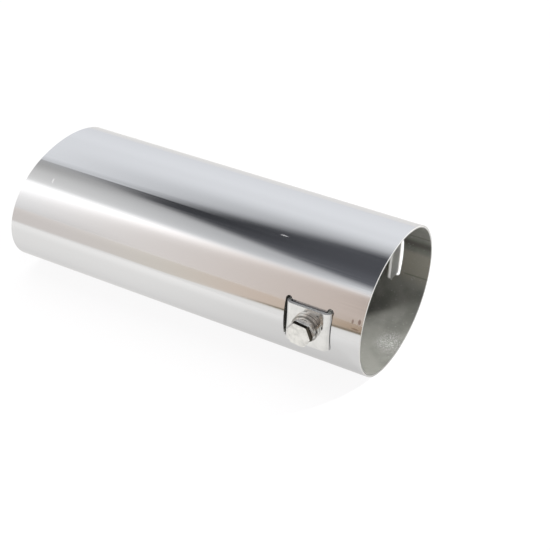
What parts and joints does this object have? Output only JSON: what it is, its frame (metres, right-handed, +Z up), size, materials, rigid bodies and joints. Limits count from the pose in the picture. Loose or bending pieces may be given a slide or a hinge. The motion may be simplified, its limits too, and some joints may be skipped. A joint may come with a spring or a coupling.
{
  "type": "exhaust tip",
  "caption": "Oval stainless exhaust tip with a slanted outlet; bolted clamps on the narrow sides near the inlet grip the tail pipe inside it.",
  "frame": {"origin": "centre of the inlet, in the plane of its rim", "axes": "+X out of the inlet along the tube, +Z up, across the oval's height; the outlet is towards -X and the clamps are on -Y and +Y"},
  "size_m": [0.1877, 0.0936, 0.065],
  "materials": {
    "polished_steel": "stainless sheet, polished outside with fine lines along the tube, dull inside",
    "bright_sheet": "bright bent steel sheet",
    "plated_bolt": "plated steel bolt, satin"
  },
  "bodies": {
    "root": {"tube_shell": "polished_steel", "clamp_bracket_front": "bright_sheet", "clamp_bracket_back": "bright_sheet"},
    "bolt_front": {"clamp_bolt_front": "plated_bolt", "plain_washer_front": "plated_bolt", "lock_washer_front": "plated_bolt"},
    "bolt_back": {"clamp_bolt_back": "plated_bolt", "plain_washer_back": "plated_bolt", "lock_washer_back": "plated_bolt"}
  },
  "joints": [
    {"name": "bolt_front_travel", "type": "slide", "parent": "root", "child": "bolt_front", "axis": [0, 0.9962, -0.0872], "range_m": [-0.009, 0]},
    {"name": "bolt_back_travel", "type": "slide", "parent": "root", "child": "bolt_back", "axis": [0, -0.9962, 0.0872], "range_m": [-0.009, 0]}
  ]
}
